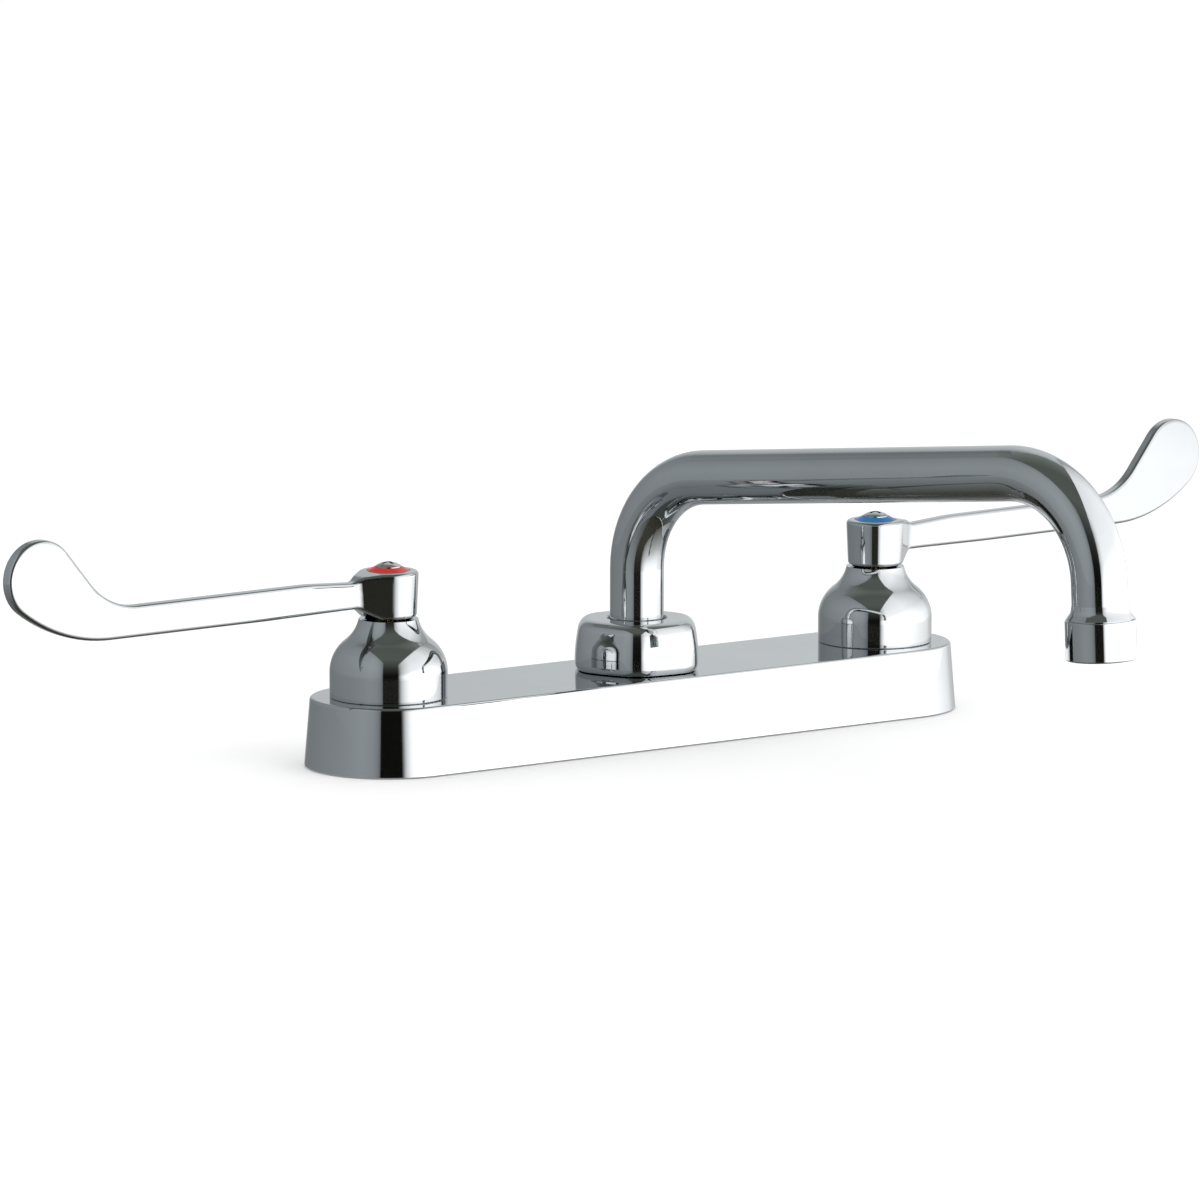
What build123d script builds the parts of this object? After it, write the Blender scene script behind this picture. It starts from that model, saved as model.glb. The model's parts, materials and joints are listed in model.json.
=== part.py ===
from build123d import *
import math
import os

os.makedirs("parts", exist_ok=True)

# Commercial deck-mount faucet, in millimetres.
# The origin is on the deck under the spout, X runs along the body to the cold side, Z is up.

# Overall layout: handle centres, spout reach, and how the spout and the blades stand
CENTRES = 203.2
REACH = 203.2
SPOUT_TURN = -78.46
BLADE_TURNS = {"hot": 183.2, "cold": 4.6}
SIDES = {"hot": -1, "cold": 1}

# Radial clearance of turning, sliding and screwed fits, and the smaller one beside a seal
RUNNING = 0.05
SEAL_GAP = 0.02
EASE = 0.4
TINY = 1e-6

# Body casting
BODY_HEIGHT = 22.7
BODY_FOOT_RADIUS = 28.1
BODY_TOP_RADIUS = 26.2
BODY_WALL = 3.5
TOP_PLATE = 3.2
TOP_ROUND = 1.0
BODY_DRAFT = math.degrees(math.atan((BODY_FOOT_RADIUS - BODY_TOP_RADIUS) / BODY_HEIGHT))
GASKET_HEIGHT = 2.2
GASKET_LIP = 1.8
GASKET_WIDTH = 3.05

# Ceramic discs of the cartridge: radius, height, and the two fan-shaped ports
DISC_RADIUS = 7.4
DISC_HEIGHT = 2.6
PORT_INNER = 2.0
PORT_OUTER = DISC_RADIUS - 1.6
PORT_HALF_ANGLE = 40.0
EAR_WIDTH = 3.0
EAR_RADIUS = DISC_RADIUS + 1.0
TONGUE_START = DISC_RADIUS - 2.45
TONGUE_WIDTH = 2.8
TONGUE_DEPTH = 1.2

# Valve barrels of the body, heights taken from its top
CARTRIDGE_RADIUS = DISC_RADIUS + 1.3
CHAMBER_RADIUS = CARTRIDGE_RADIUS + 0.9
GLAND_RADIUS = CHAMBER_RADIUS + 1.3
BARREL_RADIUS = CHAMBER_RADIUS + 4.4
BOSS_RADIUS = GLAND_RADIUS + 4.6
GLAND_SEAT = BODY_HEIGHT + 0.8
BOSS_TOP = BODY_HEIGHT + 6.8
SEAT = GLAND_SEAT - 13.5
SEAT_WEB = 2.0
SEAT_PORT_RADIUS = 4.8
INLET_RADIUS = 9.32

# Cartridge, from its seat upwards
SEAL_HEIGHT = 2.0
DRIVER_HEIGHT = 2.4
DRIVER_WIDTH = 5.0
FIXED_DISC = SEAT + SEAL_HEIGHT
MOVING_DISC = FIXED_DISC + DISC_HEIGHT
DRIVER = MOVING_DISC + DISC_HEIGHT
STEM_START = DRIVER + DRIVER_HEIGHT
CARTRIDGE_FOOT = SEAT + 0.6
CARTRIDGE_ROOF = STEM_START + 0.4
PILOT_RADIUS = CHAMBER_RADIUS - 2 * RUNNING
LOWER_PILOT = 1.8
UPPER_PILOT = 3.7
WINDOW_WIDTH = 8.0
WINDOW_MARGIN = 0.6
CARTRIDGE_GROOVE_RADIUS = CHAMBER_RADIUS - 1.3
CARTRIDGE_GROOVE_HEIGHT = 1.6
CARTRIDGE_RING = GLAND_SEAT - 1.9
FLANGE_HEIGHT = 1.8
GLAND_THREAD_TOP = BOSS_TOP + 0.3
GLAND_HEX = 2 * GLAND_RADIUS + 1.2
GLAND_TOP = BOSS_TOP + 4.5
GLAND_CHAMFER = (1.4, 0.8)

# Bonnet: a straight skirt, a round crown and a hollow throat
BONNET_RADIUS = BOSS_RADIUS + 4.15
BONNET_TOP = BODY_HEIGHT + 26.2
BONNET_SHOULDER = BODY_HEIGHT + 8.3
BONNET_THREAD_TOP = BODY_HEIGHT + 5.8
BONNET_WALL = 2.0
CROWN_RADIUS = 13.5
CROWN_SWEEP = 52.4
THROAT_RADIUS = 12.0

# Stem
STEM_RADIUS = 4.6
NECK_RADIUS = STEM_RADIUS + 2.4
NECK_TOP = BONNET_TOP - 9.4
STEM_GROOVE_RADIUS = STEM_RADIUS - 1.3
STEM_GROOVE_HEIGHT = 1.9
STEM_RINGS = {"lower": GLAND_SEAT + 3.5, "upper": GLAND_SEAT + 8.5}
CLIP_HEIGHT = 0.8
CLIP_GROOVE_RADIUS = STEM_RADIUS - 0.95
CLIP_RADIUS = STEM_RADIUS + 1.6
CLIP_MOUTH = 4.0
SPLINE_TEETH = 16
SPLINE_CREST = STEM_RADIUS - 0.2
SPLINE_ROOT = STEM_RADIUS - 0.65
SPLINE_START = NECK_TOP + 2.0
SPLINE_CHAMFER = 0.6

# Handle hub
HANDLE_FOOT = BONNET_TOP + 0.5
HANDLE_TOP = HANDLE_FOOT + 15.6
HUB_FOOT_RADIUS = 9.4
HUB_HEAD_RADIUS = 10.1
HUB_DRAFT = math.degrees(math.atan((HUB_HEAD_RADIUS - HUB_FOOT_RADIUS) / (HANDLE_TOP - HANDLE_FOOT)))
COUNTERBORE_RADIUS = CLIP_RADIUS + 1.0
SPLINE_BORE_FOOT = HANDLE_FOOT + 2.6
SPLINE_BORE_TOP = SPLINE_BORE_FOOT + 7.5
SPLINE_END = SPLINE_BORE_TOP - 0.3
RING_RECESS_RADIUS = 7.3
RING_RECESS = HANDLE_TOP - 0.7

# Wrist blade, along its own length from the pivot
BLADE_LENGTH = 154.0
BLADE_THICKNESS = 4.6
BLADE_ROUND = 1.3
BLADE_TOP = HANDLE_FOOT + 14.0
BLADE_FOOT = HANDLE_FOOT + 3.55
FLARE_ANGLE = 54.9
FLARE_BLEND = 6.5
PADDLE_RADIUS = 13.0
PADDLE_HEIGHT = HANDLE_FOOT + 25.6
SWEEP_START = BLADE_LENGTH - 50.7
SWEEP_RADIUS = 23.7
BELLY_RADIUS = 57.8

# Side view where the blade meets the hub, below and above: from the pivot, height and rounding
BLADE_CHIN = [
    (50, BLADE_FOOT, 400),
    (20, BLADE_FOOT + 0.4, 60),
    (14, BLADE_FOOT + 0.4, 4),
    (HUB_FOOT_RADIUS - 2.6, HANDLE_FOOT, 2.5),
]
BLADE_BROW = [
    (HUB_FOOT_RADIUS - 2.9, HANDLE_TOP, 15),
    (HUB_FOOT_RADIUS + 2.6, HANDLE_TOP - 0.9, 5),
    (HUB_FOOT_RADIUS + 6.2, BLADE_TOP - 1.1, 5),
    (34, BLADE_TOP, 100),
]

# Index ring and handle screw
SCREW_RADIUS = 2.4
SCREW_HOLE_RADIUS = SCREW_RADIUS + 0.2
SCREW_END = HANDLE_FOOT + 0.6
TAPPED_END = HANDLE_FOOT - 3.4
RING_FOOT = RING_RECESS + RUNNING
RING_SHELF = RING_FOOT + 1.2
RING_TOP = RING_FOOT + 1.8
SCREW_HEAD_RADIUS = 4.4
SCREW_HEAD_EDGE = 0.9
SCREW_HEAD_DOME = 1.4
CROSS_WIDTH = 1.1
CROSS_LENGTH = 5.0
CROSS_DEPTH = 1.5

# Spout tube
TUBE_RADIUS = 9.14
TUBE_WALL = 1.0
TUBE_BORE_RADIUS = TUBE_RADIUS - TUBE_WALL
TUBE_CORNER = BODY_HEIGHT + 64.8
TUBE_RISE = 6.14
TUBE_BEND = 34.0
LEG_LEAN = 2.9
OUTLET_HEIGHT = BODY_HEIGHT + 25.7

# Spout hub of the body, its socket, and the waterways to it
SOCKET_RADIUS = TUBE_RADIUS + 2.36
SOCKET_FLOOR = BODY_HEIGHT - 14.7
HUB_RADIUS = SOCKET_RADIUS + 3.7
HUB_BOSS_RADIUS = SOCKET_RADIUS + 5.0
HUB_TOP = BODY_HEIGHT + 10.3
CHANNEL_RADIUS = 3.2
CHANNEL_WALL = 2.4
CHANNEL_HEIGHT = GLAND_SEAT - 8.0

# Spout foot, from the bottom of its sleeve to its flange, and what it turns between
FOOT_START = HUB_TOP - 13.8
FOOT_LIP = 1.3
FOOT_RADIUS = SOCKET_RADIUS - RUNNING
FOOT_GROOVE_RADIUS = TUBE_RADIUS + 0.96
FOOT_GROOVE_HEIGHT = 1.9
FOOT_RINGS = {"lower": HUB_TOP - 10.9, "upper": HUB_TOP - 5.9}
FOOT_FLANGE = HUB_TOP + 0.6
FOOT_FLANGE_RADIUS = SOCKET_RADIUS + 1.4
BUSH_FOOT = FOOT_FLANGE + 2.2
BUSH_SHELF = BUSH_FOOT + 0.5
NUT_HOLE_RADIUS = TUBE_RADIUS + 0.96

# Spout nut, a softened hexagon: half its width across the flats, how round its flats and its
# corners are from above, and where one of its flats faces
NUT_HALF_WIDTH = HUB_BOSS_RADIUS + 4.55
NUT_FLAT_RADIUS = 58.0
NUT_CORNER_RADIUS = 12.0
NUT_TURN = 24.0

# Side of the spout nut: distance in from its widest, height and rounding at each corner
NUT_FOOT = BODY_HEIGHT + 0.2
NUT_TOP = BODY_HEIGHT + 17.35
NUT_DEPTH = 8.0
NUT_HEEL = (0.9, NUT_FOOT, 0.6)
NUT_HIP = (0, NUT_FOOT + 1.4, 3.0)
NUT_WAIST = (0, NUT_FOOT + 7.1, 57.0)
NUT_SHOULDER = (1.7, NUT_TOP, 4.4)

# Outlet, heights along the leg from its mouth
AERATOR_RADIUS = TUBE_RADIUS + 2.41
AERATOR_HEIGHT = 13.0
AERATOR_THREAD = TUBE_RADIUS + 1.16
AERATOR_BORE = AERATOR_THREAD - 0.3
AERATOR_ROUND = 0.6
MOUTH_RADIUS = TUBE_RADIUS + 0.16
MOUTH_DEPTH = 2.5
INSERT_FOOT = 1.0
INSERT_TOP = 8.0
INSERT_WALL = 1.0
VANE_TOP = 5.0
VANE_THICKNESS = 0.7
VANE_RINGS = (3.6, 5.9)
VANE_HUB = 1.6
WASHER_TOP = 10.0
FLARE_FOOT = AERATOR_HEIGHT + 0.35
FLARE_RADIUS = TUBE_RADIUS + 2.06
FLARE_WAIST = (TUBE_RADIUS + 0.36, FLARE_FOOT + 2.25, 3.5)
FLARE_TOP = 18.0
SPIGOT_TOP = FLARE_TOP + 5.0
SPIGOT_WALL = 1.0

UPRIGHT = (Align.CENTER, Align.CENTER, Align.MIN)


def rounded(*corners, closed=True):
    """Lines through corners (x, y) or (x, y, radius), with an arc where there is a radius."""
    corners = [tuple(corner) for corner in corners]
    spots = [Vector(*corner[:2]) for corner in corners]
    bends = []
    for i, corner in enumerate(corners):
        here = spots[i]
        if len(corner) < 3 or not corner[2]:
            bends.append((here, here, here))
            continue
        back = (spots[i - 1] - here).normalized()
        ahead = (spots[(i + 1) % len(spots)] - here).normalized()
        half = math.radians(back.get_angle(ahead)) / 2
        inward = (back + ahead).normalized()
        setback = corner[2] / math.tan(half)
        nearest = corner[2] / math.sin(half) - corner[2]
        bends.append((here + back * setback, here + inward * nearest, here + ahead * setback))
    edges = []
    for i, (start, middle, end) in enumerate(bends):
        if (end - start).length > TINY:
            edges.append(ThreePointArc(start, middle, end))
        following = bends[(i + 1) % len(bends)][0]
        if (closed or i + 1 < len(bends)) and (following - end).length > TINY:
            edges.append(Line(end, following))
    return edges


def turned(*corners):
    """Body turned about Z from corners (radius, height) or (radius, height, rounding)."""
    return revolve(Plane.XZ * make_face(rounded(*corners)), Axis.Z)


def rod(radius, bottom, top):
    """Round bar that stands on Z."""
    return Pos(0, 0, bottom) * Cylinder(radius, top - bottom, align=UPRIGHT)


def tube(outer, inner, bottom, top):
    """Round tube that stands on Z."""
    return rod(outer, bottom, top) - rod(inner, bottom, top)


def block(length, width, bottom, top, x=0.0):
    """Box centred on (x, 0)."""
    return Pos(x, 0, bottom) * Box(length, width, top - bottom, align=UPRIGHT)


def groove(outer, inner, middle, height):
    """Corners of a square groove in a turned outline, going up."""
    low = middle - height / 2
    high = middle + height / 2
    return [(outer, low), (inner, low), (inner, high), (outer, high)]


def seal_ring(inner, outer, height):
    """Round rubber ring between the floor of a groove and the bore around it."""
    thick = (outer - inner) / 2 - SEAL_GAP
    return Pos(0, 0, height) * Torus((inner + outer) / 2, thick)


def stadium(radius, bottom, top, taper=0.0):
    """Block with round ends about the two handle axes."""
    return Pos(0, 0, bottom) * extrude(SlotCenterToCenter(CENTRES, 2 * radius), top - bottom, taper=taper)


def sharp_edges(solid):
    """Edges at which two faces of a solid meet at an angle."""
    faces = solid.faces()
    found = []
    for edge in solid.edges():
        beside = [face for face in faces if any(edge.is_same(other) for other in face.edges())]
        if len(beside) == 2:
            normals = [face.normal_at(edge @ 0.5) for face in beside]
            if normals[0].get_angle(normals[1]) > 30:
                found.append(edge)
    return found


# Body casting and its gasket

def body_casting():
    shape = stadium(BODY_FOOT_RADIUS, 0, BODY_HEIGHT, BODY_DRAFT)
    shape = fillet(shape.faces().sort_by(Axis.Z)[-1].edges(), TOP_ROUND)
    shape -= stadium(BODY_FOOT_RADIUS - BODY_WALL, 0, BODY_HEIGHT - TOP_PLATE, BODY_DRAFT)
    shape -= stadium(BODY_FOOT_RADIUS - GASKET_LIP, 0, GASKET_HEIGHT)
    places = [Pos(side * CENTRES / 2, 0, 0) for side in SIDES.values()]
    for place in places:
        shape += place * rod(BARREL_RADIUS, 0, BODY_HEIGHT)
        shape += place * rod(BOSS_RADIUS, BODY_HEIGHT - TOP_PLATE, BOSS_TOP)
    shape += rod(HUB_RADIUS, 0, BODY_HEIGHT)
    shape += rod(HUB_BOSS_RADIUS, BODY_HEIGHT - TOP_PLATE, HUB_TOP)
    lengthwise = Pos(0, 0, CHANNEL_HEIGHT) * Rot(0, 90, 0)
    shape += lengthwise * Cylinder(CHANNEL_RADIUS + CHANNEL_WALL, CENTRES)
    shape -= lengthwise * Cylinder(CHANNEL_RADIUS, CENTRES)
    for place in places:
        shape -= place * rod(INLET_RADIUS, 0, SEAT - SEAT_WEB)
        shape -= place * rod(SEAT_PORT_RADIUS, 0, SEAT)
        shape -= place * rod(CHAMBER_RADIUS, SEAT, BOSS_TOP)
        shape -= place * rod(GLAND_RADIUS, GLAND_SEAT, BOSS_TOP)
    return shape - rod(SOCKET_RADIUS, SOCKET_FLOOR, HUB_TOP)


def deck_gasket():
    outer = BODY_FOOT_RADIUS - GASKET_LIP - RUNNING
    return stadium(outer, 0, GASKET_HEIGHT) - stadium(outer - GASKET_WIDTH, 0, GASKET_HEIGHT)


# Valves

def bonnet():
    crown = Vector(BONNET_RADIUS - CROWN_RADIUS, BONNET_SHOULDER)
    lean = math.radians(CROWN_SWEEP)
    throat = crown + Vector(math.cos(lean), math.sin(lean)) * (CROWN_RADIUS + THROAT_RADIUS)
    skins = []
    for skin in (0, BONNET_WALL):
        dip = (throat.Y - BONNET_TOP) / (THROAT_RADIUS + skin)
        crown_arc = CenterArc((crown.X, crown.Y), CROWN_RADIUS - skin, 0, CROWN_SWEEP)
        sweep = math.degrees(math.asin(dip)) - CROWN_SWEEP
        throat_arc = CenterArc((throat.X, throat.Y), THROAT_RADIUS + skin, 180 + CROWN_SWEEP, sweep)
        skins.append((crown_arc, throat_arc))
    (crown_out, throat_out), (crown_in, throat_in) = skins
    thread = BOSS_RADIUS + RUNNING
    skirt = rounded(
        crown_in @ 0,
        (BONNET_RADIUS - BONNET_WALL, BONNET_THREAD_TOP),
        (thread, BONNET_THREAD_TOP),
        (thread, BODY_HEIGHT),
        (BONNET_RADIUS, BODY_HEIGHT, EASE),
        crown_out @ 0,
        closed=False,
    )
    rim = Line(throat_out @ 1, throat_in @ 1)
    outline = skirt + [crown_out, throat_out, rim, throat_in, crown_in]
    return revolve(Plane.XZ * make_face(outline), Axis.Z)


def cartridge_body():
    bore = STEM_RADIUS + RUNNING
    cavity = DISC_RADIUS + RUNNING
    flange = GLAND_RADIUS - 4 * RUNNING
    ring_groove = groove(PILOT_RADIUS, CARTRIDGE_GROOVE_RADIUS, CARTRIDGE_RING, CARTRIDGE_GROOVE_HEIGHT)
    shell = turned(
        (cavity, CARTRIDGE_FOOT),
        (PILOT_RADIUS, CARTRIDGE_FOOT),
        (PILOT_RADIUS, CARTRIDGE_FOOT + LOWER_PILOT),
        (CARTRIDGE_RADIUS, CARTRIDGE_FOOT + LOWER_PILOT),
        (CARTRIDGE_RADIUS, GLAND_SEAT - UPPER_PILOT),
        (PILOT_RADIUS, GLAND_SEAT - UPPER_PILOT),
        *ring_groove,
        (PILOT_RADIUS, GLAND_SEAT),
        (flange, GLAND_SEAT),
        (flange, GLAND_SEAT + FLANGE_HEIGHT),
        (NECK_RADIUS, GLAND_SEAT + FLANGE_HEIGHT),
        (NECK_RADIUS, NECK_TOP, EASE),
        (bore, NECK_TOP),
        (bore, CARTRIDGE_ROOF),
        (cavity, CARTRIDGE_ROOF),
    )
    sill = MOVING_DISC + WINDOW_MARGIN
    shell -= block(3 * DISC_RADIUS, WINDOW_WIDTH, sill, CARTRIDGE_ROOF - WINDOW_MARGIN)
    ear_slot = block(EAR_WIDTH + 2 * RUNNING, 3 * EAR_RADIUS, CARTRIDGE_FOOT, MOVING_DISC)
    return shell - (ear_slot & rod(EAR_RADIUS + RUNNING, CARTRIDGE_FOOT, MOVING_DISC))


def cartridge_o_ring():
    return seal_ring(CARTRIDGE_GROOVE_RADIUS, CHAMBER_RADIUS, CARTRIDGE_RING)


def gland_nut():
    foot = GLAND_SEAT + FLANGE_HEIGHT
    head = extrude(RegularPolygon(GLAND_HEX / 2, 6, major_radius=False), GLAND_TOP - GLAND_THREAD_TOP)
    corner = GLAND_HEX / math.sqrt(3)
    inward, down = GLAND_CHAMFER
    cone = turned(
        (0, foot),
        (corner, foot),
        (corner, GLAND_TOP - down),
        (corner - inward, GLAND_TOP),
        (0, GLAND_TOP),
    )
    nut = rod(GLAND_RADIUS - RUNNING, foot, GLAND_THREAD_TOP) + (Pos(0, 0, GLAND_THREAD_TOP) * head & cone)
    return nut - rod(NECK_RADIUS + RUNNING, foot, GLAND_TOP)


def disc_ports(bottom, turn):
    """Two opposite fan-shaped openings through a disc."""
    far = 2 * PORT_OUTER
    rise = far * math.tan(math.radians(PORT_HALF_ANGLE))
    fans = Polygon((0, 0), (far, -rise), (far, rise), align=None)
    fans += Polygon((0, 0), (-far, rise), (-far, -rise), align=None)
    fans &= Circle(PORT_OUTER) - Circle(PORT_INNER)
    return Pos(0, 0, bottom) * Rot(0, 0, turn) * extrude(fans, DISC_HEIGHT)


def fixed_disc():
    disc = rod(DISC_RADIUS, FIXED_DISC, MOVING_DISC)
    ears = block(EAR_WIDTH, 3 * EAR_RADIUS, FIXED_DISC, MOVING_DISC)
    ears &= rod(EAR_RADIUS, FIXED_DISC, MOVING_DISC)
    return disc + ears - disc_ports(FIXED_DISC, 0)


def moving_disc():
    disc = rod(DISC_RADIUS, MOVING_DISC, DRIVER) - disc_ports(MOVING_DISC, 90)
    floor = DRIVER - TONGUE_DEPTH - RUNNING
    slots = block(3 * DISC_RADIUS, TONGUE_WIDTH + 2 * RUNNING, floor, DRIVER)
    slots -= block(2 * (TONGUE_START - RUNNING), 2 * TONGUE_WIDTH, floor, DRIVER)
    return disc - slots


def seat_seal():
    return tube(DISC_RADIUS, SEAT_PORT_RADIUS + 2 * RUNNING, SEAT, FIXED_DISC)


# Stems

def spline_face(extra=0.0):
    """Serrated outline of the stem's end, or of the bore that takes it."""
    points = []
    for i in range(SPLINE_TEETH):
        for radius, step in ((SPLINE_CREST, 2 * i), (SPLINE_ROOT, 2 * i + 1)):
            angle = math.pi * step / SPLINE_TEETH
            points.append(((radius + extra) * math.cos(angle), (radius + extra) * math.sin(angle)))
    return Polygon(*points, align=None)


def stem(turn):
    """Stem with its driver along X and its serrations set to the handle's turn."""
    corners = [(0, STEM_START), (STEM_RADIUS, STEM_START)]
    for middle in STEM_RINGS.values():
        corners += groove(STEM_RADIUS, STEM_GROOVE_RADIUS, middle, STEM_GROOVE_HEIGHT)
    clip_middle = NECK_TOP + 3 * RUNNING + CLIP_HEIGHT / 2
    corners += groove(STEM_RADIUS, CLIP_GROOVE_RADIUS, clip_middle, CLIP_HEIGHT + 2 * RUNNING)
    shaft = turned(*corners, (STEM_RADIUS, SPLINE_START), (0, SPLINE_START))
    spline = Pos(0, 0, SPLINE_START) * Rot(0, 0, turn) * extrude(spline_face(), SPLINE_END - SPLINE_START)
    spline &= turned(
        (0, SPLINE_START),
        (SPLINE_CREST, SPLINE_START),
        (SPLINE_CREST, SPLINE_END - SPLINE_CHAMFER),
        (SPLINE_CREST - SPLINE_CHAMFER, SPLINE_END),
        (0, SPLINE_END),
    )
    tongues = block(3 * DISC_RADIUS, TONGUE_WIDTH, DRIVER - TONGUE_DEPTH, DRIVER)
    tongues -= block(2 * TONGUE_START, 2 * TONGUE_WIDTH, DRIVER - TONGUE_DEPTH, DRIVER)
    driver = tongues + block(3 * DISC_RADIUS, DRIVER_WIDTH, DRIVER, STEM_START)
    driver &= rod(DISC_RADIUS - RUNNING, DRIVER - TONGUE_DEPTH, STEM_START)
    return shaft + spline + driver - rod(SCREW_RADIUS + RUNNING, TAPPED_END, SPLINE_END)


def stem_o_ring(middle):
    return seal_ring(STEM_GROOVE_RADIUS, STEM_RADIUS + RUNNING, middle)


def stem_clip():
    foot = NECK_TOP + 3 * RUNNING
    clip = tube(CLIP_RADIUS, CLIP_GROOVE_RADIUS + RUNNING, foot, foot + CLIP_HEIGHT)
    return clip - block(2 * CLIP_RADIUS, CLIP_MOUTH, foot, foot + CLIP_HEIGHT, x=CLIP_RADIUS)


# Handles

def blade_side():
    """Side view of the blade and its hub, pivot at x = 0."""
    sweep_centre = Vector(SWEEP_START, BLADE_TOP + SWEEP_RADIUS)
    paddle = Vector(BLADE_LENGTH - PADDLE_RADIUS, PADDLE_HEIGHT)
    between = paddle - sweep_centre
    climb = math.asin((SWEEP_RADIUS + PADDLE_RADIUS) / between.length) + math.atan2(between.Y, between.X)
    climb = math.degrees(climb)
    belly_rise = BLADE_FOOT + BELLY_RADIUS - PADDLE_HEIGHT
    belly_run = math.sqrt((BELLY_RADIUS - PADDLE_RADIUS) ** 2 - belly_rise**2)
    belly_end = -math.degrees(math.atan2(belly_rise, belly_run))
    sweep = CenterArc((sweep_centre.X, sweep_centre.Y), SWEEP_RADIUS, -90, climb)
    nose = CenterArc((paddle.X, paddle.Y), PADDLE_RADIUS, belly_end, 90 + climb - belly_end)
    belly_centre = (paddle.X - belly_run, BLADE_FOOT + BELLY_RADIUS)
    belly = CenterArc(belly_centre, BELLY_RADIUS, -90, 90 + belly_end)
    behind = -2 * HUB_HEAD_RADIUS
    root = rounded(
        belly @ 0,
        *BLADE_CHIN,
        (behind, HANDLE_FOOT),
        (behind, HANDLE_TOP),
        *BLADE_BROW,
        sweep @ 0,
        closed=False,
    )
    return make_face(root + [sweep, Line(sweep @ 1, nose @ 1), nose, belly])


def handle_blank():
    """Hub, flat flares and blade as they look from above, with the hub's draft."""
    roof = PADDLE_HEIGHT + 2 * PADDLE_RADIUS
    apex = (HUB_FOOT_RADIUS / math.cos(math.radians(FLARE_ANGLE)), 0)
    back = CenterArc((0, 0), HUB_FOOT_RADIUS, FLARE_ANGLE, 360 - 2 * FLARE_ANGLE)
    teardrop = make_face([back, Line(back @ 1, apex), Line(apex, back @ 0)])
    blank = Pos(0, 0, HANDLE_FOOT) * extrude(teardrop, roof - HANDLE_FOOT, taper=-HUB_DRAFT)
    length = BLADE_LENGTH + PADDLE_RADIUS
    blank += block(length, BLADE_THICKNESS, HANDLE_FOOT, roof, x=length / 2)
    inner_corners = []
    for edge in blank.edges():
        middle = edge.center()
        upright = edge.bounding_box().size.Z > (roof - HANDLE_FOOT) / 2
        on_blade = abs(abs(middle.Y) - BLADE_THICKNESS / 2) < TINY
        if upright and on_blade and middle.X < BLADE_LENGTH:
            inner_corners.append(edge)
    return fillet(inner_corners, FLARE_BLEND)


def handle():
    shape = handle_blank() & extrude(Plane.XZ * blade_side(), 3 * HUB_HEAD_RADIUS, both=True)
    shape = fillet(sharp_edges(shape), BLADE_ROUND)
    shape -= rod(COUNTERBORE_RADIUS, HANDLE_FOOT, SPLINE_BORE_FOOT)
    serrations = extrude(spline_face(RUNNING), SPLINE_BORE_TOP - SPLINE_BORE_FOOT)
    shape -= Pos(0, 0, SPLINE_BORE_FOOT) * serrations
    shape -= rod(SCREW_HOLE_RADIUS, SPLINE_BORE_FOOT, HANDLE_TOP)
    return shape - rod(RING_RECESS_RADIUS, RING_RECESS, HANDLE_TOP)


def index_ring():
    radius = RING_RECESS_RADIUS - 2 * RUNNING
    bore = SCREW_HEAD_RADIUS + 2 * RUNNING
    hole = SCREW_HOLE_RADIUS + 2 * RUNNING
    return turned(
        (hole, RING_FOOT),
        (radius, RING_FOOT),
        (radius, HANDLE_TOP - 2 * RUNNING),
        (bore + EASE, RING_TOP),
        (bore, RING_TOP),
        (bore, RING_SHELF),
        (hole, RING_SHELF),
    )


def handle_screw():
    top = RING_SHELF + SCREW_HEAD_EDGE + SCREW_HEAD_DOME
    ball = (SCREW_HEAD_RADIUS**2 + SCREW_HEAD_DOME**2) / (2 * SCREW_HEAD_DOME)
    head = rod(SCREW_HEAD_RADIUS, RING_SHELF, top) & Pos(0, 0, top - ball) * Sphere(ball)
    screw = head + rod(SCREW_RADIUS, SCREW_END, RING_SHELF)
    screw -= block(CROSS_WIDTH, CROSS_LENGTH, top - CROSS_DEPTH, top)
    return screw - block(CROSS_LENGTH, CROSS_WIDTH, top - CROSS_DEPTH, top)


# Spout

def nut_outline():
    """Hexagon of six domed flats and six round corners, one arc each."""
    beyond = NUT_FLAT_RADIUS - NUT_HALF_WIDTH
    reach = NUT_FLAT_RADIUS - NUT_CORNER_RADIUS
    half_flat = 30 - math.degrees(math.asin(beyond / (2 * reach)))
    inset = (reach * math.cos(math.radians(half_flat)) - beyond) / math.cos(math.radians(30))
    arcs = []
    for facing in range(0, 360, 60):
        flat = Vector(-beyond, 0).rotate(Axis.Z, facing)
        corner = Vector(inset, 0).rotate(Axis.Z, facing + 30)
        arcs.append(CenterArc((flat.X, flat.Y), NUT_FLAT_RADIUS, facing - half_flat, 2 * half_flat))
        corner_turn = 60 - 2 * half_flat
        arcs.append(CenterArc((corner.X, corner.Y), NUT_CORNER_RADIUS, facing + half_flat, corner_turn))
    return Wire(arcs)


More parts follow.
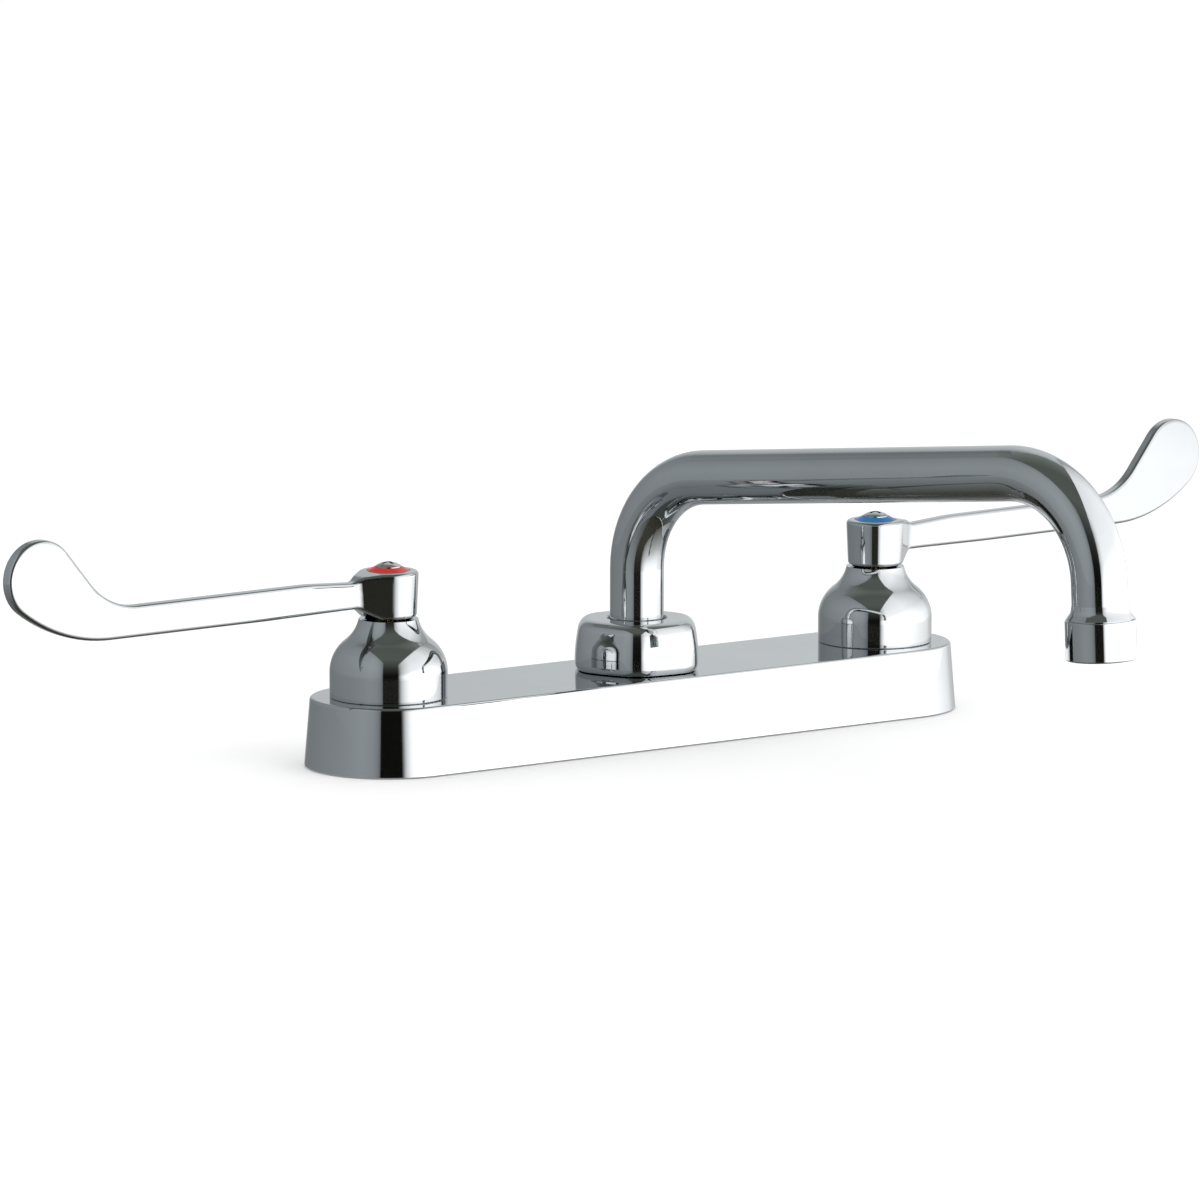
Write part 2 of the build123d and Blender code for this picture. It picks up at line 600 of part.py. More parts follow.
def spout_nut():
    """Side view swept round the hexagon, filled in, then bored from below and above."""
    path = nut_outline()
    side = [(NUT_DEPTH, NUT_FOOT), NUT_HEEL, NUT_HIP, NUT_WAIST, NUT_SHOULDER, (NUT_DEPTH, NUT_TOP)]
    inward = Vector(0, 0, 1).cross(path % 0)
    section = Plane(path @ 0, x_dir=inward, z_dir=path % 0) * make_face(rounded(*side))
    core = (NUT_HALF_WIDTH - NUT_DEPTH) / math.cos(math.radians(30))
    nut = sweep(section, path) + rod(core, NUT_FOOT, NUT_TOP)
    thread = HUB_BOSS_RADIUS + RUNNING
    cavity = FOOT_FLANGE_RADIUS + 6 * RUNNING
    bore = turned(
        (0, NUT_FOOT),
        (thread, NUT_FOOT),
        (thread, FOOT_FLANGE),
        (cavity, FOOT_FLANGE),
        (cavity, BUSH_SHELF),
        (NUT_HOLE_RADIUS, BUSH_SHELF),
        (NUT_HOLE_RADIUS, NUT_TOP - EASE),
        (NUT_HOLE_RADIUS + EASE, NUT_TOP),
        (0, NUT_TOP),
    )
    return Rot(0, 0, NUT_TURN) * (nut - bore)


def spout_bushing():
    bore = TUBE_RADIUS + 2 * RUNNING
    sleeve = NUT_HOLE_RADIUS - RUNNING
    return turned(
        (bore, BUSH_FOOT),
        (FOOT_FLANGE_RADIUS, BUSH_FOOT),
        (FOOT_FLANGE_RADIUS, BUSH_SHELF),
        (sleeve, BUSH_SHELF),
        (sleeve, NUT_TOP - EASE),
        (bore, NUT_TOP - EASE),
    )


def spout_washer():
    return tube(FOOT_FLANGE_RADIUS, SOCKET_RADIUS, HUB_TOP, FOOT_FLANGE)


def spout_foot():
    bore = TUBE_RADIUS + RUNNING
    corners = [(TUBE_BORE_RADIUS, FOOT_START), (FOOT_RADIUS, FOOT_START)]
    for middle in FOOT_RINGS.values():
        corners += groove(FOOT_RADIUS, FOOT_GROOVE_RADIUS, middle, FOOT_GROOVE_HEIGHT)
    return turned(
        *corners,
        (FOOT_RADIUS, FOOT_FLANGE),
        (FOOT_FLANGE_RADIUS, FOOT_FLANGE),
        (FOOT_FLANGE_RADIUS, BUSH_FOOT),
        (bore, BUSH_FOOT),
        (bore, FOOT_START + FOOT_LIP),
        (TUBE_BORE_RADIUS, FOOT_START + FOOT_LIP),
    )


def spout_o_ring(middle):
    return seal_ring(FOOT_GROOVE_RADIUS, SOCKET_RADIUS, middle)


def spout_tube():
    lean = math.radians(LEG_LEAN)
    rise = math.tan(math.radians(TUBE_RISE))
    leg = (TUBE_CORNER + rise * REACH - OUTLET_HEIGHT) / (math.cos(lean) + rise * math.sin(lean))
    centre_line = rounded(
        (0, FOOT_START + FOOT_LIP),
        (0, TUBE_CORNER, TUBE_BEND),
        (REACH - leg * math.sin(lean), OUTLET_HEIGHT + leg * math.cos(lean), TUBE_BEND),
        (REACH - FLARE_TOP * math.sin(lean), OUTLET_HEIGHT + FLARE_TOP * math.cos(lean)),
        closed=False,
    )
    path = Plane.XZ * Wire(centre_line)
    section = Plane(path @ 0, z_dir=path % 0) * (Circle(TUBE_RADIUS) - Circle(TUBE_BORE_RADIUS))
    return sweep(section, path)


def outlet_adapter():
    spigot = TUBE_BORE_RADIUS - RUNNING
    bore = spigot - SPIGOT_WALL
    thread = AERATOR_THREAD - RUNNING
    return turned(
        (bore, WASHER_TOP),
        (thread, WASHER_TOP),
        (thread, FLARE_FOOT),
        (FLARE_RADIUS, FLARE_FOOT),
        FLARE_WAIST,
        (TUBE_RADIUS, FLARE_TOP),
        (spigot, FLARE_TOP),
        (spigot, SPIGOT_TOP),
        (bore, SPIGOT_TOP),
    )


def aerator_housing():
    return turned(
        (MOUTH_RADIUS, 0),
        (AERATOR_RADIUS, 0, AERATOR_ROUND),
        (AERATOR_RADIUS, AERATOR_HEIGHT, AERATOR_ROUND / 2),
        (AERATOR_THREAD, AERATOR_HEIGHT),
        (AERATOR_THREAD, INSERT_TOP),
        (AERATOR_BORE, INSERT_TOP),
        (AERATOR_BORE, MOUTH_DEPTH),
        (MOUTH_RADIUS, MOUTH_DEPTH),
    )


def aerator_insert():
    outer = AERATOR_BORE - RUNNING
    nose = MOUTH_RADIUS - 2 * RUNNING
    inner = nose - INSERT_WALL
    shell = turned(
        (inner, INSERT_FOOT),
        (nose, INSERT_FOOT),
        (nose, MOUTH_DEPTH),
        (outer, MOUTH_DEPTH),
        (outer, INSERT_TOP),
        (inner, INSERT_TOP),
    )
    vanes = rod(VANE_HUB, INSERT_FOOT, VANE_TOP)
    half = VANE_THICKNESS / 2
    for radius in VANE_RINGS:
        vanes += tube(radius + half, radius - half, INSERT_FOOT, VANE_TOP)
    for i in range(6):
        vanes += Rot(0, 0, 30 * i) * block(2 * inner + half, VANE_THICKNESS, INSERT_FOOT, VANE_TOP)
    return shell + vanes


def aerator_washer():
    return tube(AERATOR_THREAD - 2 * RUNNING, TUBE_BORE_RADIUS, INSERT_TOP, WASHER_TOP)


# Placing and export

def save(name, shape):
    export_step(shape, f"parts/{name}.step")


save("body_casting", body_casting())
save("deck_gasket", deck_gasket())

for side, sign in SIDES.items():
    at_valve = Pos(sign * CENTRES / 2, 0, 0)
    at_handle = at_valve * Rot(0, 0, BLADE_TURNS[side])
    save(f"{side}_bonnet", at_valve * bonnet())
    save(f"{side}_cartridge_body", at_valve * cartridge_body())
    save(f"{side}_cartridge_o_ring", at_valve * cartridge_o_ring())
    save(f"{side}_gland_nut", at_valve * gland_nut())
    save(f"{side}_fixed_disc", at_valve * fixed_disc())
    save(f"{side}_moving_disc", at_valve * moving_disc())
    save(f"{side}_seat_seal", at_valve * seat_seal())
    save(f"{side}_stem", at_valve * stem(BLADE_TURNS[side]))
    for place, middle in STEM_RINGS.items():
        save(f"{side}_stem_o_ring_{place}", at_valve * stem_o_ring(middle))
    save(f"{side}_stem_clip", at_valve * stem_clip())
    save(f"{side}_handle", at_handle * handle())
    save(f"{side}_index_ring", at_handle * index_ring())
    save(f"{side}_handle_screw", at_handle * handle_screw())

save("spout_nut", spout_nut())
save("spout_bushing", spout_bushing())
save("spout_washer", spout_washer())
at_spout = Rot(0, 0, SPOUT_TURN)
save("spout_tube", at_spout * spout_tube())
save("spout_foot", at_spout * spout_foot())
for place, middle in FOOT_RINGS.items():
    save(f"spout_o_ring_{place}", at_spout * spout_o_ring(middle))
at_outlet = at_spout * Pos(REACH, 0, OUTLET_HEIGHT) * Rot(0, -LEG_LEAN, 0)
save("outlet_adapter", at_outlet * outlet_adapter())
save("aerator_housing", at_outlet * aerator_housing())
save("aerator_insert", at_outlet * aerator_insert())
save("aerator_washer", at_outlet * aerator_washer())
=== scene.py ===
import json
import math

import bpy
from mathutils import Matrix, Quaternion, Vector

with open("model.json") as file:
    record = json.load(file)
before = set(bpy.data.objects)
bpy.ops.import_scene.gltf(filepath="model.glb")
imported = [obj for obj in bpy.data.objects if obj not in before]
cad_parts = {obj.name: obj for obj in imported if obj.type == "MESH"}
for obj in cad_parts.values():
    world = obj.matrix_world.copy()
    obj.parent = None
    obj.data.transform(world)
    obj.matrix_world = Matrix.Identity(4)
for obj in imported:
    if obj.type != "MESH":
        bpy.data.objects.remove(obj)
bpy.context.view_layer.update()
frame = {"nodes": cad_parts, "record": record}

# Camera: where it stands round the object, how far off, and the point it looks at
CAMERA_TURN = math.radians(35.91)
CAMERA_RISE = math.radians(9.01)
CAMERA_ROLL = math.radians(0.13)
CAMERA_DISTANCE = 2.833
CAMERA_CENTRE = Vector((0, 0, 0.040))
CAMERA_TARGET = Vector((-0.0096, 0.0080, 0.0457))
CAMERA_LENS = 251.0
CAMERA_SENSOR = 36.0
CAMERA_CLIP = (0.05, 60.0)

# Studio panels that the chrome reflects. Each place is a distance to the right of the
# camera's view and one towards the camera, both from the axis of the spout.
RIGHT = Vector((math.cos(CAMERA_TURN), -math.sin(CAMERA_TURN), 0))
NEAR = Vector((-math.sin(CAMERA_TURN), -math.cos(CAMERA_TURN), 0))
SOFTBOX_FRONT = (0.217, 0.900)
SOFTBOX_BACK = (0.361, -0.757)
SOFTBOX_TOP = 0.573
GREY_PANEL_FRONT = (-0.279, 1.309)
GREY_PANEL_CORNER = (-0.780, -0.560)
GREY_PANEL_BACK = (-0.500, -1.250)
GREY_PANEL_TOP = 1.05
GREY_RETURN_TOP = 1.70
BACK_SCREEN_LEFT = (-3.6, -2.2)
BACK_SCREEN_RIGHT = (2.6, -2.2)
BACK_SCREEN_TOP = 3.8
PANEL_SINK = 0.02
ROOM_DEPTH = 3.6
ROOM_SIDES = (-2.0, 2.0)
CEILING_HEIGHT = 1.7
CEILING_BACK = -1.0
TABLE_HEIGHT = -0.0003
TABLE_BACK = -2.0

# Their colours, and how bright they are along from the first corner, and up from the foot:
# each pair is a share of the way and the brightness there. The ceiling has its near edge
# for a foot.
SOFTBOX_TONE = (1, 1, 1)
SOFTBOX_ALONG = (
    (0, 0.01), (0.04, 0.1), (0.12, 0.46), (0.19, 0.7), (0.32, 1),
    (0.52, 1), (0.60, 0.8), (0.68, 0.64), (0.76, 0.42), (1, 0.34),
)
SOFTBOX_UP = ((0, 2.3), (0.13, 2.25), (0.28, 1.55), (0.60, 1.32), (0.94, 1.2), (1, 0.6))
GREY_TONE = (0.93, 1, 1.035)
GREY_PANEL_ALONG = (
    (0, 0.05), (0.035, 0.24), (0.10, 0.33), (0.22, 0.43), (0.38, 0.47), (0.60, 0.40), (1, 0.33),
)
GREY_PANEL_UP = ((0, 0.95), (0.35, 1.08), (0.75, 1.0), (1, 0.80))
GREY_RETURN_ALONG = ((0, 0.33), (0.70, 0.29), (0.90, 0.36), (1, 0.45))
GREY_RETURN_UP = ((0, 0.95), (0.25, 1.08), (0.6, 1.0), (0.8, 0.75), (1, 0.65))
BACK_SCREEN_TONE = (0.96, 1, 1.02)
BACK_SCREEN_ALONG = ((0, 0.45), (0.42, 0.5), (0.5, 0.8), (0.6, 1), (1, 1))
BACK_SCREEN_UP = ((0, 0.70), (0.27, 0.74), (0.50, 0.80), (0.70, 0.70), (1, 0.50))
CEILING_TONE = (0.89, 1, 0.89)
CEILING_UP = ((0, 0.05), (0.30, 0.10), (0.50, 0.15), (0.75, 0.14), (1, 0.30))
ROOM_TONE = (1, 1, 0.85)
ROOM_UP = ((0, 0.007), (0.3, 0.012), (1, 0.05))

# Dark table: its colour, and the roughness of the polish over it
TABLE_TONE = (0.065, 0.060, 0.045)
TABLE_POLISH = 0.03

# Light that falls on the object: the sky, and one lamp, placed by how far it is to the
# right, towards the camera and up
SKY_LIGHT = 0.85
LAMP_PLACE = (1.2, 0.9, 1.3)
LAMP_SIZE = 1.2
LAMP_POWER = 6.0

# Floor, just under the object and its dark table
FLOOR_HEIGHT = -0.0006
FLOOR_REACH = 8.0
FLOOR_TONE = (0.92, 0.92, 0.92)
FLOOR_GLOW = 0.22

WHITE = (1, 1, 1)


# Node helpers

# Where the Mix node keeps its factor and its two colours
MIX_COLOUR_SOCKETS = (0, 6, 7)


class Nodes:
    """A node tree with short calls to add and join its nodes."""

    def __init__(self, tree):
        self.tree = tree
        tree.nodes.clear()

    def add(self, kind, **settings):
        node = self.tree.nodes.new(kind)
        for key, value in settings.items():
            setattr(node, key, value)
        return node

    def feed(self, socket, value):
        """Sets a socket to a constant, or joins it to the socket that is given as value."""
        if isinstance(value, bpy.types.NodeSocket):
            self.tree.links.new(value, socket)
        else:
            socket.default_value = value

    def put(self, node, **values):
        """Feeds sockets by name, with _ for a space."""
        for key, value in values.items():
            self.feed(node.inputs[key.replace("_", " ")], value)
        return node

    def maths(self, operation, *values, clamp=False):
        node = self.add("ShaderNodeMath", operation=operation, use_clamp=clamp)
        for socket, value in zip(node.inputs, values):
            self.feed(socket, value)
        return node.outputs[0]

    def noise(self, size, detail=2.0, roughness=0.5, stretch=(1, 1, 1)):
        """Noise whose features are about size metres across."""
        place = self.add("ShaderNodeTexCoord").outputs["Object"]
        mapping = self.put(self.add("ShaderNodeMapping"), Vector=place, Scale=stretch)
        node = self.add("ShaderNodeTexNoise")
        self.put(node, Vector=mapping.outputs[0], Scale=1 / size)
        self.put(node, Detail=detail, Roughness=roughness)
        return node.outputs["Fac"]

    def span(self, value, low, high, start=0.0, end=1.0):
        """Maps a value from start..end to low..high."""
        node = self.put(self.add("ShaderNodeMapRange"), Value=value)
        for socket, number in zip(node.inputs[1:5], (start, end, low, high)):
            socket.default_value = number
        return node.outputs["Result"]

    def ramp(self, value, stops):
        """Runs through stops, each a share of the way from 0 to 1 and a brightness there."""
        most = max(brightness for _, brightness in stops)
        node = self.put(self.add("ShaderNodeValToRGB"), Fac=value)
        points = node.color_ramp.elements
        for share, _ in stops[1:-1]:
            points.new(share)
        for point, (share, brightness) in zip(points, stops):
            point.position = share
            point.color = rgba((brightness / most,) * 3)
        return self.maths("MULTIPLY", node.outputs["Color"], most)

    def bump(self, height, depth, normal=None):
        """Bump whose height of 0..1 stands for depth metres."""
        node = self.put(self.add("ShaderNodeBump"), Height=height, Distance=depth, Strength=1.0)
        if normal is not None:
            self.feed(node.inputs["Normal"], normal)
        return node.outputs["Normal"]

    def mix_colour(self, factor, first, second):
        node = self.add("ShaderNodeMix", data_type="RGBA")
        for place, value in zip(MIX_COLOUR_SOCKETS, (factor, first, second)):
            self.feed(node.inputs[place], value)
        return node.outputs[2]


def rgba(colour, share=1.0):
    """Opaque colour, darkened to a share of what is given."""
    return (*[part * share for part in colour], 1.0)


def bare_material(name):
    """New material and its node tree, which is empty."""
    made = bpy.data.materials.new(name)
    made.use_nodes = True
    return made, Nodes(made.node_tree)


def material(name):
    """New material, its node tree and the principled shader in it."""
    made, nodes = bare_material(name)
    shader = nodes.add("ShaderNodeBsdfPrincipled")
    nodes.put(nodes.add("ShaderNodeOutputMaterial"), Surface=shader.outputs[0])
    return made, nodes, shader


# Materials of the object. Sizes and depths of their patterns are in metres, and each shine
# is a pair of roughnesses, from the smoothest spot to the dullest. Noise lies between 0 and
# 1, mostly near the middle, so most spans of it start above 0 and end below 1.

CHROME_TONE = (0.575, 0.595, 0.610)
CHROME_HAZE_TONE = (0.540, 0.556, 0.566)
CHROME_HAZE_SIZE = 0.035
CHROME_HAIRLINE_SIZE = 0.0016
CHROME_HAIRLINE_DEPTH = 0.000002
CHROME_HAIRLINE_DULLNESS = 0.02
BRASS_TARNISH = (0.62, 0.52, 0.42)
BRASS_TARNISH_SIZE = 0.008
BRASS_SHINE = (0.18, 0.42)
BRASS_RING_DEPTH = 0.00001
STEEL_TONES = ((0.42, 0.42, 0.43), (0.56, 0.56, 0.58))
STEEL_GRAIN_SIZE = 0.0006
STEEL_GRAIN_DEPTH = 0.000008
STEEL_SHINE = (0.22, 0.40)
RUBBER_DUST_SIZE = 0.012
RUBBER_DUST_TONE = 0.05
RUBBER_GRAIN_DEPTH = 0.00002
RUBBER_SHINE = (0.55, 0.78)
PLASTIC_PEEL_SIZE = 0.0012
PLASTIC_CLOUD_SIZE = 0.006
PLASTIC_CLOUD_SHARE = 0.86
PLASTIC_DULLNESS = 0.08
CERAMIC_TONES = ((0.88, 0.87, 0.84), (0.70, 0.68, 0.63))
CERAMIC_PORE_SIZE = 0.0005
CERAMIC_PORE_DEPTH = 0.000004
CERAMIC_SHINE = (0.12, 0.30)


def chrome(name, wave_size, wave_depth, shine=(0.022, 0.050), grain=(1, 1, 1)):
    """Polished chrome: long soft waves from buffing, faint haze and hairline polishing marks."""
    made, nodes, shader = material(name)
    haze = nodes.noise(CHROME_HAZE_SIZE, detail=4.0, roughness=0.6)
    hairlines = nodes.noise(CHROME_HAIRLINE_SIZE, detail=3.0, roughness=0.7, stretch=grain)
    hazy = nodes.span(haze, 0.0, 1.0, 0.35, 0.75)
    scratched = nodes.span(hairlines, 0.0, CHROME_HAIRLINE_DULLNESS, 0.55, 0.9)
    waves = nodes.bump(nodes.noise(wave_size, detail=1.0), wave_depth)
    nodes.put(
        shader,
        Base_Color=nodes.mix_colour(hazy, rgba(CHROME_TONE), rgba(CHROME_HAZE_TONE)),
        Metallic=1.0,
        Roughness=nodes.maths("ADD", nodes.span(haze, *shine, 0.3, 0.8), scratched),
        Normal=nodes.bump(hairlines, CHROME_HAIRLINE_DEPTH, waves),
    )
    return made


def brass(name, tone, ring_size):
    """Turned brass: fine rings from the tool, and a little tarnish."""
    made, nodes, shader = material(name)
    tarnish = nodes.noise(BRASS_TARNISH_SIZE, detail=5.0, roughness=0.65)
    tarnished = nodes.span(tarnish, 0.0, 1.0, 0.45, 0.85)
    dark = [part * share for part, share in zip(tone, BRASS_TARNISH)]
    rings = nodes.noise(ring_size, detail=1.0, stretch=(0.02, 0.02, 1))
    nodes.put(
        shader,
        Base_Color=nodes.mix_colour(tarnished, rgba(tone), rgba(dark)),
        Metallic=1.0,
        Roughness=nodes.span(tarnish, *BRASS_SHINE, 0.3, 0.8),
        Normal=nodes.bump(rings, BRASS_RING_DEPTH),
    )
    return made


def steel(name):
    """Spring steel with a drawn grain and a dull oil film."""
    made, nodes, shader = material(name)
    grain = nodes.noise(STEEL_GRAIN_SIZE, detail=3.0)
    dark, light = STEEL_TONES
    nodes.put(
        shader,
        Base_Color=nodes.mix_colour(grain, rgba(dark), rgba(light)),
        Metallic=1.0,
        Roughness=nodes.span(grain, *STEEL_SHINE),
        Normal=nodes.bump(grain, STEEL_GRAIN_DEPTH),
    )
    return made


def rubber(name, tone, grain_size):
    """Moulded rubber with a fine matt skin and dusty patches."""
    made, nodes, shader = material(name)
    grain = nodes.noise(grain_size, detail=4.0, roughness=0.7)
    dust = nodes.noise(RUBBER_DUST_SIZE, detail=3.0)
    dusty = [part + RUBBER_DUST_TONE for part in tone]
    nodes.put(
        shader,
        Base_Color=nodes.mix_colour(nodes.span(dust, 0.0, 0.6, 0.5, 0.9), rgba(tone), rgba(dusty)),
        Roughness=nodes.span(grain, *RUBBER_SHINE),
        Normal=nodes.bump(grain, RUBBER_GRAIN_DEPTH),
    )
    return made


def plastic(name, tone, smoothest, peel_depth):
    """Moulded plastic with a faint orange-peel skin and slight clouding."""
    made, nodes, shader = material(name)
    peel = nodes.noise(PLASTIC_PEEL_SIZE, detail=2.0)
    cloud = nodes.noise(PLASTIC_CLOUD_SIZE, detail=3.0)
    clouded = rgba(tone, PLASTIC_CLOUD_SHARE)
    nodes.put(
        shader,
        Base_Color=nodes.mix_colour(nodes.span(cloud, 0.0, 1.0, 0.35, 0.7), rgba(tone), clouded),
        Roughness=nodes.span(peel, smoothest, smoothest + PLASTIC_DULLNESS),
        Normal=nodes.bump(peel, peel_depth),
    )
    return made


def ceramic(name):
    """Lapped ceramic, off-white with tiny pores."""
    made, nodes, shader = material(name)
    pores = nodes.noise(CERAMIC_PORE_SIZE, detail=4.0, roughness=0.8)
    clean, stained = CERAMIC_TONES
    porous = nodes.span(pores, 0.0, 1.0, 0.6, 0.8)
    nodes.put(
        shader,
        Base_Color=nodes.mix_colour(porous, rgba(clean), rgba(stained)),
        Roughness=nodes.span(pores, *CERAMIC_SHINE),
        Normal=nodes.bump(pores, CERAMIC_PORE_DEPTH),
    )
    return made


FINISHES = {
    "chrome_casting": chrome("chrome_casting", 0.030, 0.000050),
    "chrome_handle": chrome("chrome_handle", 0.022, 0.000030, grain=(0.05, 1, 1)),
    "chrome_spout": chrome("chrome_spout", 0.045, 0.000030),
    "chrome_screw": chrome("chrome_screw", 0.004, 0.000010, shine=(0.06, 0.12)),
    "valve_brass": brass("valve_brass", (0.74, 0.56, 0.27), 0.0008),
    "foot_brass": brass("foot_brass", (0.76, 0.58, 0.30), 0.0010),
    "clip_steel": steel("clip_steel"),
    "disc_ceramic": ceramic("disc_ceramic"),
    "seal_rubber": rubber("seal_rubber", (0.022, 0.022, 0.024), 0.0008),
    "deck_gasket_rubber": rubber("deck_gasket_rubber", (0.035, 0.035, 0.036), 0.0012),
    "bush_plastic": plastic("bush_plastic", (0.035, 0.035, 0.040), 0.38, 0.00002),
    "aerator_plastic": plastic("aerator_plastic", (0.72, 0.73, 0.74), 0.30, 0.00001),
    "hot_index_red": plastic("hot_index_red", (0.60, 0.030, 0.018), 0.16, 0.000006),
    "cold_index_blue": plastic("cold_index_blue", (0.008, 0.165, 0.43), 0.16, 0.000006),
}

SLOT_OF = {row["node"]: row["material_slot"] for row in frame["record"]["subparts"]}
for name, thing in frame["nodes"].items():
    thing.data.materials.clear()
    thing.data.materials.append(FINISHES[SLOT_OF[name]])


# Studio

def studio(across, towards, height):
    """Point of the studio from its distances to the right and towards the camera."""
    return RIGHT * across + NEAR * towards + Vector((0, 0, height))


def panel(name, corners, finish):
    """Flat piece of the stage whose UV runs along from the first corner and then up."""
    mesh = bpy.data.meshes.new(name)
    mesh.from_pydata([tuple(corner) for corner in corners], [], [tuple(range(len(corners)))])
    uv = mesh.uv_layers.new(name="UVMap")
    for loop, spot in zip(uv.data, ((0, 0), (1, 0), (1, 1), (0, 1))):
        loop.uv = spot
    thing = bpy.data.objects.new(name, mesh)
    bpy.context.scene.collection.objects.link(thing)
    thing.data.materials.append(finish)
    return thing


def for_reflections(thing):
    """Only shiny surfaces see this panel: it lights nothing, shades nothing and isn't in view."""
    thing.visible_camera = False
    thing.visible_diffuse = False
    thing.visible_shadow = False
    thing.visible_transmission = False
    thing.visible_volume_scatter = False


def glowing(name, tone, along=None, up=None):
    """Material that glows, with a brightness that changes along a panel, up it or both."""
    made, nodes = bare_material(name)
    place = nodes.add("ShaderNodeTexCoord").outputs["UV"]
    split = nodes.put(nodes.add("ShaderNodeSeparateXYZ"), Vector=place)
    light = 1.0
    for way, stops in zip(split.outputs, (along, up)):
        if stops:
            light = nodes.maths("MULTIPLY", nodes.ramp(way, stops), light)
    glow = nodes.put(nodes.add("ShaderNodeEmission"), Color=rgba(tone), Strength=light)
    nodes.put(nodes.add("ShaderNodeOutputMaterial"), Surface=glow.outputs[0])
    return made


def wall(name, front, back, top, tone, along=None, up=None):
    """Glowing upright panel between two places, from just below the table's top."""
    foot = -PANEL_SINK
    corners = [studio(*front, foot), studio(*back, foot), studio(*back, top), studio(*front, top)]
    for_reflections(panel(name, corners, glowing(name, tone, along, up)))


def level(name, height, sides, ends, finish):
    """Level panel between two distances across, and from a near end to a far one."""
    (left, right), (near, far) = sides, ends
    places = ((left, near), (right, near), (right, far), (left, far))
    return panel(name, [studio(*place, height) for place in places], finish)


def shown(nodes):
    """1 for rays from the camera and from shiny or clear surfaces, else 0."""
    path = nodes.add("ShaderNodeLightPath")
    total = nodes.maths("ADD", path.outputs["Is Camera Ray"], path.outputs["Is Glossy Ray"])
    return nodes.maths("ADD", total, path.outputs["Is Transmission Ray"], clamp=True)


def white_world():
    """Sky that is white where it shows, and lights matt surfaces a little less."""
    world = bpy.data.worlds.new("studio")
    bpy.context.scene.world = world
    world.use_nodes = True
    nodes = Nodes(world.node_tree)
    background = nodes.add("ShaderNodeBackground")
    nodes.put(background, Color=rgba(WHITE), Strength=nodes.span(shown(nodes), SKY_LIGHT, 1.0))
    nodes.put(nodes.add("ShaderNodeOutputWorld"), Surface=background.outputs[0])


def pale_floor():
    """Matt white floor that also glows a little, so that it is white where nothing shades it."""
    made, nodes, shader = material("pale_floor")
    nodes.put(
        shader,
        Base_Color=rgba(FLOOR_TONE),
        Roughness=0.9,
        Specular_IOR_Level=0.1,
        Emission_Color=rgba(WHITE),
        Emission_Strength=nodes.span(shown(nodes), 0.0, FLOOR_GLOW),
    )
    sides = (-FLOOR_REACH, FLOOR_REACH)
    level("floor", FLOOR_HEIGHT, sides, (FLOOR_REACH, -FLOOR_REACH), made)


def dark_table():
    """Dark polished top that only reflections see, brighter the flatter they skim it."""
    made, nodes = bare_material("dark_table")
    top = nodes.add("ShaderNodeBsdfPrincipled")
    nodes.put(top, Base_Color=rgba(TABLE_TONE), Roughness=0.6, Specular_IOR_Level=0.0)
    polish = nodes.add("ShaderNodeBsdfGlossy")
    nodes.put(polish, Color=rgba(WHITE), Roughness=TABLE_POLISH)
    skimming = nodes.put(nodes.add("ShaderNodeLayerWeight"), Blend=0.5).outputs["Facing"]
    both = nodes.add("ShaderNodeMixShader")
    for socket, value in zip(both.inputs, (skimming, top.outputs[0], polish.outputs[0])):
        nodes.feed(socket, value)
    nodes.put(nodes.add("ShaderNodeOutputMaterial"), Surface=both.outputs[0])
    for_reflections(level("table", TABLE_HEIGHT, ROOM_SIDES, (ROOM_DEPTH, TABLE_BACK), made))


def dim_ceiling():
    """Ceiling that only reflections see, brighter away from the camera."""
    finish = glowing("ceiling", CEILING_TONE, up=CEILING_UP)
    ends = (ROOM_DEPTH, CEILING_BACK)
    for_reflections(level("ceiling", CEILING_HEIGHT, ROOM_SIDES, ends, finish))


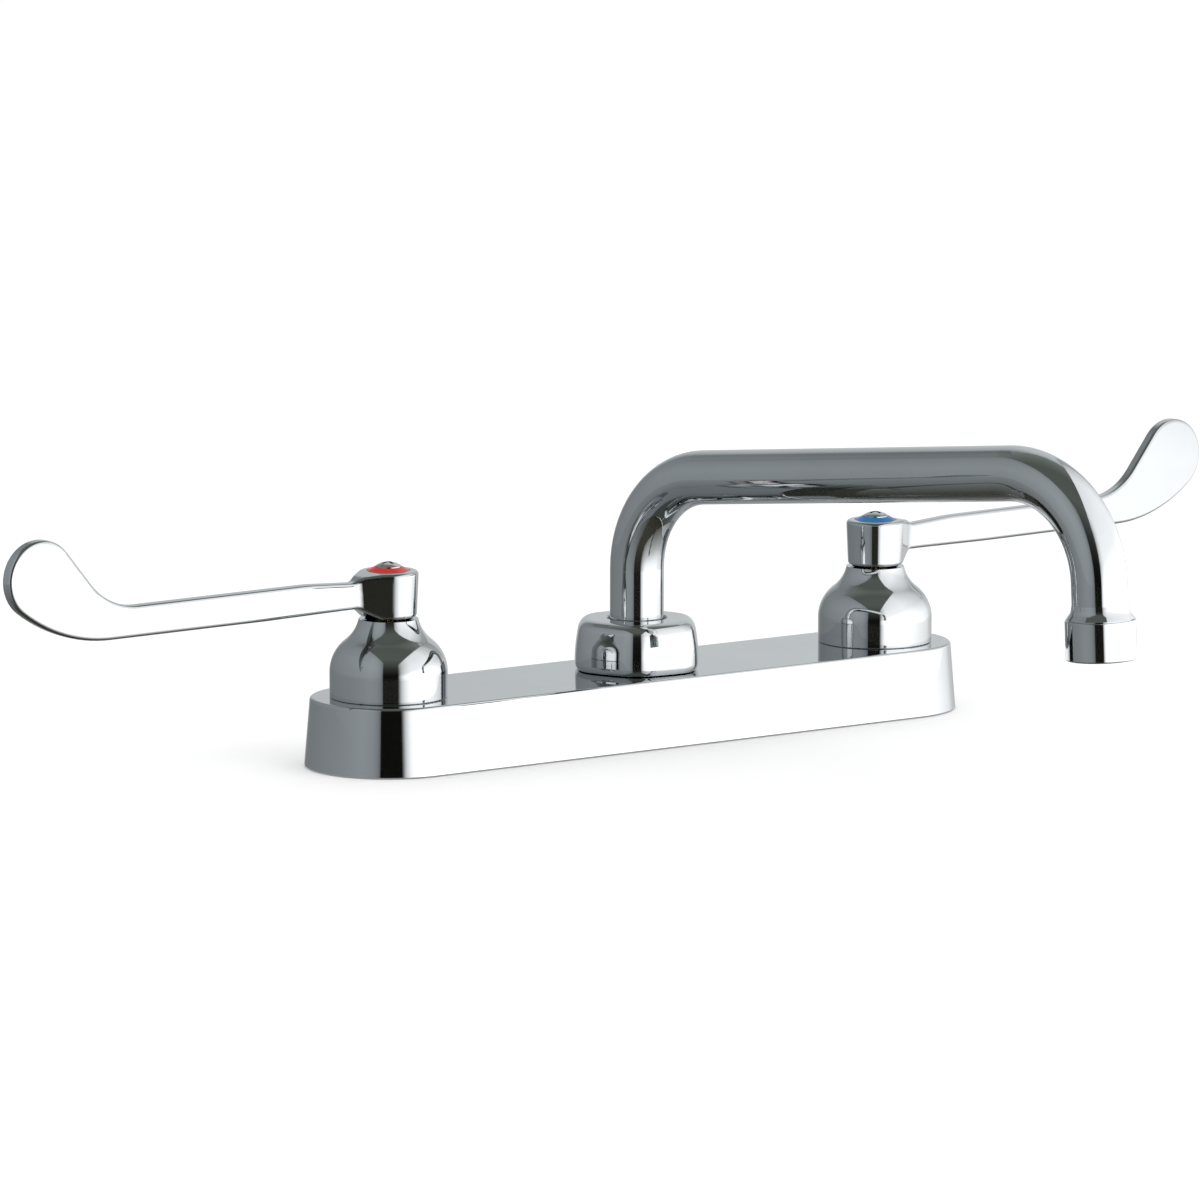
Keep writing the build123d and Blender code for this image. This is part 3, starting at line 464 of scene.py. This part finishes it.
def square_lamp(name, place, size, power):
    """Lamp that faces the object and that shiny surfaces don't see."""
    data = bpy.data.lights.new(name, "AREA")
    data.shape = "RECTANGLE"
    data.size = data.size_y = size
    data.energy = power
    thing = bpy.data.objects.new(name, data)
    bpy.context.scene.collection.objects.link(thing)
    thing.location = place
    thing.rotation_mode = "QUATERNION"
    thing.rotation_quaternion = (CAMERA_CENTRE - place).to_track_quat("-Z", "Y")
    thing.visible_glossy = False


white_world()
pale_floor()
dark_table()
wall(
    "softbox", SOFTBOX_FRONT, SOFTBOX_BACK, SOFTBOX_TOP,
    SOFTBOX_TONE, SOFTBOX_ALONG, SOFTBOX_UP,
)
wall(
    "grey_panel", GREY_PANEL_FRONT, GREY_PANEL_CORNER, GREY_PANEL_TOP,
    GREY_TONE, GREY_PANEL_ALONG, GREY_PANEL_UP,
)
wall(
    "grey_return", GREY_PANEL_CORNER, GREY_PANEL_BACK, GREY_RETURN_TOP,
    GREY_TONE, GREY_RETURN_ALONG, GREY_RETURN_UP,
)
wall(
    "back_screen", BACK_SCREEN_LEFT, BACK_SCREEN_RIGHT, BACK_SCREEN_TOP,
    BACK_SCREEN_TONE, BACK_SCREEN_ALONG, BACK_SCREEN_UP,
)
room_left, room_right = ((side, ROOM_DEPTH) for side in ROOM_SIDES)
wall("dark_room", room_left, room_right, CEILING_HEIGHT, ROOM_TONE, up=ROOM_UP)
dim_ceiling()
square_lamp("key", studio(*LAMP_PLACE), LAMP_SIZE, LAMP_POWER)


# Camera

def aim_camera():
    data = bpy.data.cameras.new("camera")
    data.lens = CAMERA_LENS
    data.sensor_width = CAMERA_SENSOR
    data.clip_start, data.clip_end = CAMERA_CLIP
    camera = bpy.data.objects.new("camera", data)
    bpy.context.scene.collection.objects.link(camera)
    away = math.cos(CAMERA_RISE) * CAMERA_DISTANCE
    height = math.sin(CAMERA_RISE) * CAMERA_DISTANCE
    camera.location = CAMERA_CENTRE + studio(0, away, height)
    camera.rotation_mode = "QUATERNION"
    aim = (CAMERA_TARGET - camera.location).to_track_quat("-Z", "Y")
    camera.rotation_quaternion = aim @ Quaternion((0, 0, 1), CAMERA_ROLL)
    bpy.context.scene.camera = camera


aim_camera()
bpy.context.scene.view_settings.view_transform = "Standard"
